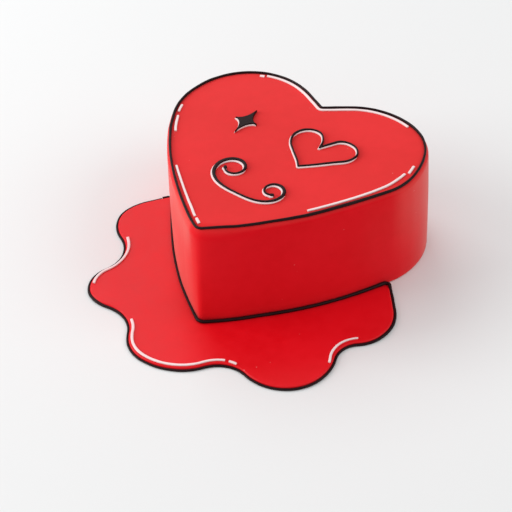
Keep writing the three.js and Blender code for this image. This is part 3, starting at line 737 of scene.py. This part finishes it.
rim, rim_out, rim_number = follow(puddle_arcs())
foot_start = EDGE_ARCS + 1
foot_end = foot_start + FOOT_ARCS
corner_end = foot_end + 1
by_cake = np.interp(rim_number, [EDGE_ARCS, foot_start, foot_end, corner_end], [0, 1, 1, 0])
rim_passed, rim_length = closed_lengths(rim)
rim = rim + rim_out * (swell(EDGE_WAVES, rim_passed, rim_length)
                       - swell(FOOT_WAVES, facing(rim), 360) * by_cake)
rim_passed, rim_length = closed_lengths(rim)
corner_places = rim[(by_cake > 0) & (by_cake < 1)]
from_corner = np.array([abs(corner_places - place).min() for place in rim])
right_climbed = np.where(by_cake > 0, 1, np.clip(1 - from_corner / RIGHT_CLIMB, 0, 1) ** 2)
climbed = np.where(rim.real < 0, by_cake**2 * (3 - 2 * by_cake), right_climbed)
sheet_line = rim + rim_out * (climbed * (EDGE_CORD_WIDTH + FOOT_CORD_WIDTH) / 2
                              - EDGE_CORD_WIDTH / 2)
edge_low = PUDDLE_THICKNESS - PUDDLE_EDGE_ROUNDING
sheet_rings = [(sheet_line, 0), (sheet_line, edge_low)]
for angle in np.linspace(0, math.pi / 2, PUDDLE_EDGE_POINTS)[1:]:
    drawn_in = PUDDLE_EDGE_ROUNDING * (1 - math.cos(angle))
    sheet_rings.append((sheet_line - rim_out * drawn_in,
                        edge_low + PUDDLE_EDGE_ROUNDING * math.sin(angle)))
flat_top = sheet_line - rim_out * (PUDDLE_EDGE_ROUNDING + PUDDLE_TOP_INSIDE)
sheet_rings.append((flat_top, PUDDLE_THICKNESS))
puddle_paste = paste("puddle_paste", PUDDLE_DEEP, PUDDLE_LIGHT, RED_ROUGHNESS, grain=0.01 * MM,
                     dent=0.06 * MM, dust=RED_DUST, gloss=0.22, bloom=0.1)
puddle = stacked("puddle_sheet", sheet_rings, puddle_paste)
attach(puddle, "root")
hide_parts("puddle")


# The puddle's cord: one string of black sugar paste laid from a seam near the cake's left side,
# round the puddle's edge, up onto the puddle at the corner, along the cake's foot and back.
EDGE_CORD_HEIGHT, FOOT_CORD_HEIGHT = 1.9, 2.6
CORD_SUNK = 0.1
SEAM_FROM_CORNER, SEAM_GAP, SEAM_LIFT = 5, 0.5, 1.1
CAKE_TOUCH = 0.15
# How much slimmer the cord is along the cake's left foot, and where that begins, is full, ends
# being full and stops, in arcs from the first corner by the cake
LEFT_FOOT_SLIMMER, LEFT_FOOT_STRETCH = 0.33, [2.3, 3.2, 3.9, 4.3]
# Where along the puddle's edge the cord is fuller, half the spread, how much of its width
FULLER_STRETCHES = [(95, 30, -0.15), (152, 36, 0.25), (240, 50, -0.15), (400, 50, 0.1),
                    (495, 85, 0.42)]
seam = rim_passed[np.argmax(rim_number >= corner_end)] + SEAM_FROM_CORNER
left_foot = np.interp(rim_number - EDGE_ARCS, LEFT_FOOT_STRETCH, [0, 1, 1, 0])
fuller = swell(FULLER_STRETCHES, rim_passed, rim_length)
path, path_out, path_climbed, path_by_cake, path_left, path_fuller = part_of(
    [rim, rim_out, climbed, by_cake, left_foot, fuller], rim_passed, rim_length,
    seam, seam + rim_length - SEAM_GAP)
path_climbed, path_by_cake = path_climbed.real, path_by_cake.real
from_end = lengths(path)[-1] - lengths(path)
path_foot = np.maximum(path_climbed * (PUDDLE_THICKNESS - CORD_SUNK),
                       np.interp(from_end, [SEAM_FROM_CORNER, 2 * SEAM_FROM_CORNER],
                                 [SEAM_LIFT, 0]))
path_wide = EDGE_CORD_WIDTH + path_by_cake * (FOOT_CORD_WIDTH + 2 * CAKE_TOUCH - EDGE_CORD_WIDTH)
slimmer = path_wide * LEFT_FOOT_SLIMMER * path_left.real
path = path + path_out * (CAKE_TOUCH * path_by_cake + slimmer / 2)
wide = (path_wide - slimmer) / EDGE_CORD_WIDTH + path_fuller.real
tall = (1 + path_climbed * (FOOT_CORD_HEIGHT - EDGE_CORD_HEIGHT) / EDGE_CORD_HEIGHT
        + path_fuller.real / 2)
puddle_cord = strand("puddle_edge_cord", path, path_out, path_foot, cord_cut, wide, tall,
                     Width=EDGE_CORD_WIDTH, Height=EDGE_CORD_HEIGHT, Unevenness=0.05,
                     Wander=0.12, Spread=14, Seed=2.0, Paste=black_paste)
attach(puddle_cord, "root")
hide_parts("puddle_cord")


# The strips of light on the puddle: the same thin white paste as on the cake, laid beside the
# black cord on its lobes. From and to are lengths along the puddle's edge.
PUDDLE_STRIP_SEED = 30.0
PUDDLE_STRIPS = {
    "puddle_strip_left": (64.2, 128.8, (4.6, 1.6, 3.8), (1.3, 0.95, 1.2)),
    "puddle_strip_front_long": (189.7, 305.7, (4.0, 3.6, 4.4), (1.15, 1.05, 0.9)),
    "puddle_strip_front_dash": (308.6, 314.5, (3.9, 3.9, 3.4), (1.0, 1.0, 1.0)),
    "puddle_strip_right": (409.7, 443.3, (3.2, 5.4, 5.4), (1.05, 0.95, 0.65)),
}
for number, (name, (start_at, end_at, insets, widths)) in enumerate(PUDDLE_STRIPS.items()):
    line, line_out = part_of([rim, rim_out], rim_passed, rim_length, start_at, end_at)
    strip = inset_strip("white_" + name, line, line_out, insets, widths, 0, PUDDLE_THICKNESS,
                        PUDDLE_STRIP_SEED + number)
    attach(strip, "root")
    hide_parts(name)


# The heart ornament: an outline of two brush-like strokes cut from rolled paste, a white layer
# stuck to the cake and a black one pressed on it, set a little back so that the white shows.
WHITE_FOOT, WHITE_TOP = 92.35, 93.85
BLACK_FOOT, BLACK_TOP = 92.75, 94.9
WHITE_SLIP = -0.2 - 1.1j
# Points of each stroke: across, along, width of the stroke
HEART_STROKES = [
    [(25.5, 11.6, 2.0), (20.5, 17.9, 1.7), (10.7, 27.8, 1.7), (3.1, 36.4, 1.9), (-0.2, 45.9, 2.5),
     (2.5, 54.6, 2.8), (10.1, 59.5, 2.2), (18.7, 58.6, 1.7), (24.9, 51.2, 1.7), (27.7, 40.8, 2.2)],
    [(27.3, 41.6, 1.9), (32.1, 49.0, 2.6), (37.7, 56.4, 2.9), (45.1, 58.4, 1.9), (53.7, 55.6, 1.6),
     (58.7, 47.9, 2.0), (56.7, 38.4, 2.5), (46.1, 28.9, 2.5), (35.7, 19.9, 2.3), (25.3, 11.8, 2.0)],
]
HEART_SPAN_STEPS = 14
HEART_SEEDS = [40.0, 41.0]


def mix_at(a, b, start, end, t):
    """What goes evenly from a at the start to b at the end, at t."""
    return a + (b - a) * (t - start) / (end - start)


def smooth_curve(points):
    """A curve through points, each span bent by the points before and after it."""
    points = np.array(points)
    before, after = 2 * points[0] - points[1], 2 * points[-1] - points[-2]
    row = np.vstack([before, points, after])
    knots = np.concatenate([[0], np.cumsum(np.linalg.norm(np.diff(row, axis=0), axis=1) ** 0.5)])
    curve = []
    for i in range(1, len(row) - 2):
        k0, k1, k2, k3 = knots[i - 1:i + 3]
        for t in np.linspace(k1, k2, HEART_SPAN_STEPS, endpoint=i == len(row) - 3):
            low = mix_at(row[i - 1], row[i], k0, k1, t), mix_at(row[i], row[i + 1], k1, k2, t)
            high = mix_at(row[i + 1], row[i + 2], k2, k3, t)
            low, high = mix_at(*low, k0, k2, t), mix_at(low[1], high, k1, k3, t)
            curve.append(mix_at(low, high, k1, k2, t))
    return np.array(curve)


def right_of(places):
    """The direction on the right of the way along points."""
    return -1j * np.gradient(places)


LAYERS = {
    "white": {"foot": WHITE_FOOT, "top": WHITE_TOP, "slip": WHITE_SLIP, "width": 1.0,
              "paste": white_paste},
    "black": {"foot": BLACK_FOOT, "top": BLACK_TOP, "slip": 0, "width": 0.8,
              "paste": black_paste},
}


def stroke(name, places, widths, layer, seed):
    """One stroke of an ornament's layer."""
    return strand(name, places + layer["slip"], right_of(places), layer["foot"], stroke_cut,
                  widths * layer["width"], Width=1.0, Height=layer["top"] - layer["foot"],
                  Unevenness=0.05, Wander=0.05, Spread=6, Seed=seed, Paste=layer["paste"])


def joined(piece, other):
    """Two overlapping forms made one."""
    modifier = piece.modifiers.new("join", "BOOLEAN")
    modifier.operation, modifier.solver, modifier.object = "UNION", "EXACT", other
    ready = piece.evaluated_get(bpy.context.evaluated_depsgraph_get())
    mesh = bpy.data.meshes.new_from_object(ready)
    piece.modifiers.remove(modifier)
    bpy.data.objects.remove(other)
    return finished(piece, mesh)


stroke_cut = rounded_cut("stroke_cut", squareness=3.0, points=20)
for colour, layer in LAYERS.items():
    halves = []
    for name, points, seed in zip((colour + "_heart", "heart_half"), HEART_STROKES, HEART_SEEDS):
        across, along, widths = smooth_curve(points).T
        halves.append(stroke(name, across + 1j * along, widths, layer, seed))
    heart = joined(*halves)
    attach(heart, "root")
    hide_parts("heart_" + colour)
    colour + "_paste"


# The sparkle ornament: a star of four points with hollow sides, cut from the same white and
# black rolled paste with a cutter, its upper edges soft.
SPARKLE_PLACE = -44.6 + 42.6j
SPARKLE_TALL, SPARKLE_WIDE, SPARKLE_WAIST = 17, 10.5, 1.8
SPARKLE_STEPS = 16
# The rings of its side and soft edge: the scale of each, and how far up the layer it lies
SPARKLE_RINGS = [(1, 0), (1, 0.7), (0.985, 0.86), (0.955, 0.96), (0.91, 1), (0.85, 1)]


def star(scale):
    """The star's outline: four hollow sides, each bent towards the middle."""
    tips = [SPARKLE_WIDE, 1j * SPARKLE_TALL, -SPARKLE_WIDE, -1j * SPARKLE_TALL]
    share = np.arange(SPARKLE_STEPS) / SPARKLE_STEPS
    sides = []
    for tip, following in zip(tips, tips[1:] + tips[:1]):
        both = tip + following
        waist = SPARKLE_WAIST * complex(np.sign(both.real), np.sign(both.imag))
        sides.append(bend((tip, waist, following), share))
    return np.concatenate(sides) * scale


for colour, layer in LAYERS.items():
    height = layer["top"] - layer["foot"]
    rings = [(SPARKLE_PLACE + layer["slip"] + star(scale), layer["foot"] + height * up)
             for scale, up in SPARKLE_RINGS]
    sparkle = stacked(colour + "_sparkle", rings, layer["paste"])
    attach(sparkle, "root")
    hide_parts("sparkle_" + colour)
    colour + "_paste"


# The scroll ornament: one stroke that curls up at both ends, its curve tightening evenly along
# each arm, thick where it swings out and with a round drop at each end. Two layers of paste.
SCROLL_PLACE = 3 - 42j
SCROLL_TILT = math.radians(-6)
# Its least width, that of its drops, and the least square of half a drop's width at its end
SCROLL_THIN, SCROLL_DROP, DROP_END = 1.7, 3.8, 0.05
SCROLL_STEPS = 130
SCROLL_SEED = 50.0
# Each arm's length, how often it turns round, its thickest width and where it sets out to
SCROLL_ARMS = [(106, -1.2, 4.2, math.pi), (82, 1.15, 3.4, 0)]


def scroll_arm(length, turns, thick, heading):
    """Points of one arm from the middle out, and the stroke's width at each."""
    share = (np.arange(SCROLL_STEPS) + 0.5) / SCROLL_STEPS
    angle = SCROLL_TILT + heading + 2 * math.pi * turns * share**2
    places = SCROLL_PLACE + np.cumsum(np.exp(1j * angle)) * length / SCROLL_STEPS
    widths = SCROLL_THIN + (thick - SCROLL_THIN) * np.sin(math.pi * share) ** 2
    radius = SCROLL_DROP / 2
    from_centre = (1 - share) * length - radius
    drop = 2 * np.sqrt(np.clip(radius**2 - from_centre**2, DROP_END, None))
    return places, np.where(from_centre < 0, drop, np.maximum(widths, drop))


for colour, layer in LAYERS.items():
    (left, left_width), (right, right_width) = (scroll_arm(*arm) for arm in SCROLL_ARMS)
    line = np.concatenate([left[::-1], [SCROLL_PLACE], right])
    widths = np.concatenate([left_width[::-1], [SCROLL_THIN], right_width])
    scroll = stroke(colour + "_scroll", line, widths, layer, SCROLL_SEED)
    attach(scroll, "root")
    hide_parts("scroll_" + colour)
    colour + "_paste"


# The floor: a wide, pale, matt surface that the cake lies on, one flat square so large that its
# edges are out of the picture from where the camera stands.
FLOOR_HALF = 4.0
FLOOR_COLOUR, FLOOR_ROUGHNESS = (0.80, 0.80, 0.795, 1), 0.7
corners = [(x * FLOOR_HALF, y * FLOOR_HALF, 0) for x, y in ((-1, -1), (1, -1), (1, 1), (-1, 1))]
floor_mesh = bpy.data.meshes.new("floor")
floor_mesh.from_pydata(corners, [], [(0, 1, 2, 3)])
floor = bpy.data.objects.new("floor", floor_mesh)
bpy.context.scene.collection.objects.link(floor)
floor_paint = bpy.data.materials.new("floor_paint")
floor_paint.use_nodes = True
floor_shader = floor_paint.node_tree.nodes["Principled BSDF"]
floor_shader.inputs["Base Color"].default_value = FLOOR_COLOUR
floor_shader.inputs["Roughness"].default_value = FLOOR_ROUGHNESS
floor_mesh.materials.append(floor_paint)


# The light: a pale room with a window behind on the left, a bright low one on the left, and a
# weak one on the right. Each is seen from the cake in a direction and at a height.
ROOM_COLOUR, ROOM_BRIGHTNESS = (0.97, 0.985, 1.0, 1), 0.59
WINDOW_DISTANCE, WINDOW_WIDTH, WINDOW_TALL = 2.6, 1.8, 1.4
room = bpy.data.worlds.new("room")
bpy.context.scene.world = room
room.use_nodes = True
walls = room.node_tree.nodes["Background"]
walls.inputs["Color"].default_value = ROOM_COLOUR
walls.inputs["Strength"].default_value = ROOM_BRIGHTNESS


def window(name, direction, height, brightness):
    """A window that faces the cake. Brightness is that of its pane, 1 being white paper."""
    light = bpy.data.lights.new(name, "AREA")
    light.shape = "RECTANGLE"
    light.size, light.size_y = WINDOW_WIDTH, WINDOW_TALL
    light.energy = brightness * math.pi * WINDOW_WIDTH * WINDOW_TALL
    lamp = bpy.data.objects.new(name, light)
    bpy.context.scene.collection.objects.link(lamp)
    turn, rise = math.radians(direction), math.radians(height)
    place = Vector((math.cos(turn) * math.cos(rise), math.sin(turn) * math.cos(rise),
                    math.sin(rise))) * WINDOW_DISTANCE
    look = place.to_track_quat("Z", "Y").to_matrix().to_4x4()
    lamp.matrix_world = Matrix.Translation(place) @ look


window("back_window", direction=150, height=45, brightness=2.3)
window("left_window", direction=210, height=22, brightness=5.8)
window("right_window", direction=20, height=40, brightness=2.1)


# The camera: a long lens about 1.3 m away that looks down on the cake from in front of its
# right flank, rolled a little about its own line of sight.
CAMERA_PLACE = Vector((557.84, -828.70, 860.94)) * MM
CAMERA_AIM = Vector((-6.04, -8.27, 0)) * MM
CAMERA_ROLL = math.radians(-2.670)
CAMERA_LENS, CAMERA_SENSOR = 110.09, 36
NEAREST_SEEN, FURTHEST_SEEN = 0.05, 20
camera = bpy.data.objects.new("camera", bpy.data.cameras.new("camera"))
bpy.context.scene.collection.objects.link(camera)
camera.data.lens, camera.data.sensor_width = CAMERA_LENS, CAMERA_SENSOR
camera.data.clip_start, camera.data.clip_end = NEAREST_SEEN, FURTHEST_SEEN
look = (CAMERA_PLACE - CAMERA_AIM).to_track_quat("Z", "Y").to_matrix().to_4x4()
camera.matrix_world = (Matrix.Translation(CAMERA_PLACE) @ look
                       @ Matrix.Rotation(CAMERA_ROLL, 4, "Z"))
bpy.context.scene.camera = camera
bpy.context.scene.view_settings.view_transform = "Standard"
